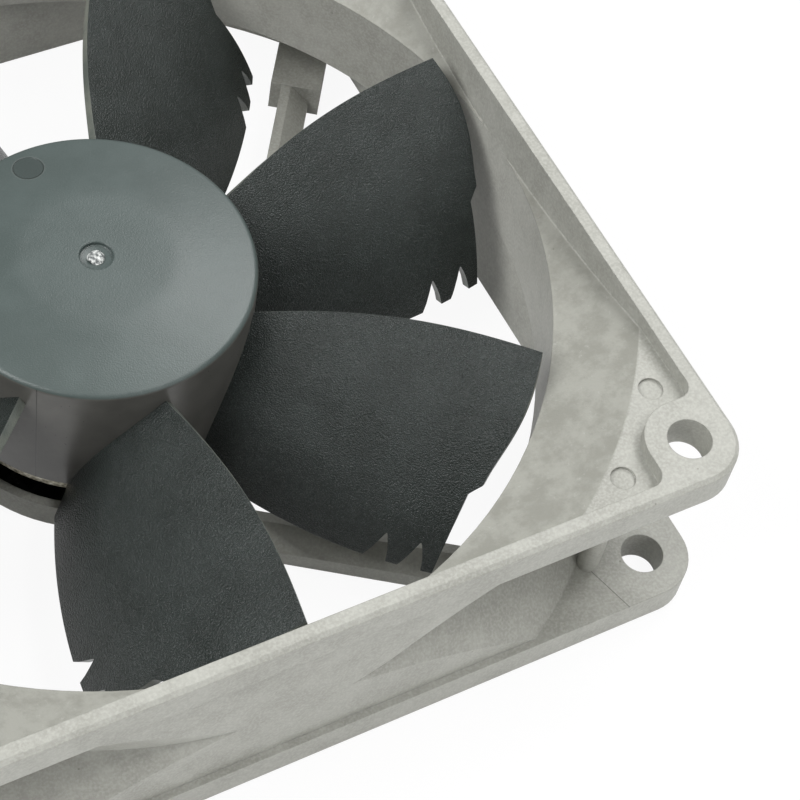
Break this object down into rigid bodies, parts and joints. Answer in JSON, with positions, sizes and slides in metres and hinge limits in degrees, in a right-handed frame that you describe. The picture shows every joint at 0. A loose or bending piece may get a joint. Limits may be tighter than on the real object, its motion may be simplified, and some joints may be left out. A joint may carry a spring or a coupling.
{
  "type": "computer case fan",
  "caption": "Square case fan with a grey frame, tangential struts and a dark bladed impeller with notched trailing edges that spins on its own shaft.",
  "frame": {"origin": "centre of the outlet face, on the impeller's axis", "axes": "+Z along the impeller's axis towards the inlet, X and Y along the frame's sides"},
  "size_m": [0.092, 0.092, 0.025],
  "materials": {
    "frame_plastic": "satin moulded grey plastic",
    "impeller_plastic": "fine textured slate grey plastic",
    "yoke_steel": "speckled galvanised steel",
    "magnet": "bonded ferrite",
    "brass": "turned brass",
    "shaft_steel": "ground steel",
    "clip_plastic": "natural nylon",
    "rubber_black": "soft black",
    "bronze": "sintered bronze",
    "core_steel": "laminated steel",
    "insulator": "moulded natural nylon",
    "copper": "enamelled copper wire",
    "board_green": "solder mask",
    "tinned": "tinned wire",
    "chip_black": "moulded epoxy",
    "label_white": "bare foil label"
  },
  "bodies": {
    "housing": {"frame": "frame_plastic", "bearing_tube": "brass", "end_cap": "rubber_black", "thrust_pad": "clip_plastic", "sleeve_bearing": "bronze", "oil_seal": "rubber_black", "stator_core": "core_steel", "lower_insulator": "insulator", "upper_insulator": "insulator", "coil_1": "copper", "coil_2": "copper", "coil_3": "copper", "coil_4": "copper", "circuit_board": "board_green", "terminal_pins": "tinned", "driver_ic": "chip_black", "hall_sensor": "chip_black", "chip_parts": "chip_black", "rear_label": "label_white"},
    "rotor": {"impeller": "impeller_plastic", "rotor_cup": "yoke_steel", "ring_magnet": "magnet", "shaft_boss": "brass", "shaft": "shaft_steel", "retaining_clip": "clip_plastic", "oil_slinger": "clip_plastic"}
  },
  "joints": [
    {"name": "impeller_spin", "type": "hinge", "parent": "housing", "child": "rotor", "pos_m": [0, 0, 0], "axis": [0, 0, 1], "continuous": true}
  ]
}
